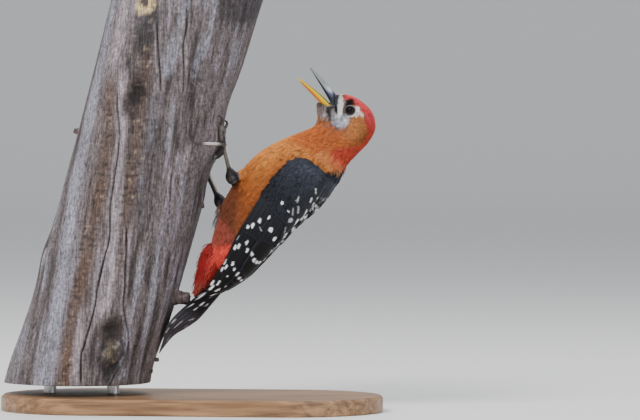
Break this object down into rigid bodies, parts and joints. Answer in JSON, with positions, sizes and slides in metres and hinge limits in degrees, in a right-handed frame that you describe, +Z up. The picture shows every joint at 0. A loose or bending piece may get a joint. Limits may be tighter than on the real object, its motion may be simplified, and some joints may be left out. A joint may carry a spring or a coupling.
{
  "type": "rufous-bellied woodpecker",
  "caption": "Life-size still model of a male woodpecker clinging to a leaning cut length of dead trunk, bill open and tail braced on the bark, on a flat stand.",
  "frame": {"origin": "middle of the underside of the stand's base", "axes": "+Z up; the bird climbs on the +X side of the leaning trunk, its left side towards -Y"},
  "size_m": [0.24, 0.116, 0.262],
  "materials": {
    "rufous_feathers": "soft matt feathers",
    "crown_feathers": "soft matt red, grey and white feathers",
    "red_coverts": "soft loose red feathers",
    "pied_feathers": "smooth black flight feathers with white spots",
    "dark_horn": "satin grey horn",
    "yellow_horn": "satin yellow horn",
    "eye": "wet gloss",
    "leg_scales": "dry grey scales",
    "dead_wood": "weathered bare grey wood",
    "stand_wood": "oiled oak",
    "stand_steel": "brushed"
  },
  "bodies": {
    "root": {"bill_lower": "yellow_horn", "bill_upper": "dark_horn", "claw_left_1": "dark_horn", "claw_left_2": "dark_horn", "claw_left_3": "dark_horn", "claw_left_4": "dark_horn", "claw_right_1": "dark_horn", "claw_right_2": "dark_horn", "claw_right_3": "dark_horn", "claw_right_4": "dark_horn", "eye_left": "eye", "eye_right": "eye", "head": "crown_feathers", "leg_left": "leg_scales", "leg_right": "leg_scales", "neck": "rufous_feathers", "perch": "dead_wood", "stand_base": "stand_wood", "stand_rod_inner": "stand_steel", "stand_rod_outer": "stand_steel", "tail": "pied_feathers", "thigh_left": "rufous_feathers", "thigh_right": "rufous_feathers", "torso": "rufous_feathers", "undertail_coverts": "red_coverts", "wing_left": "pied_feathers", "wing_right": "pied_feathers"}
  },
  "joints": []
}
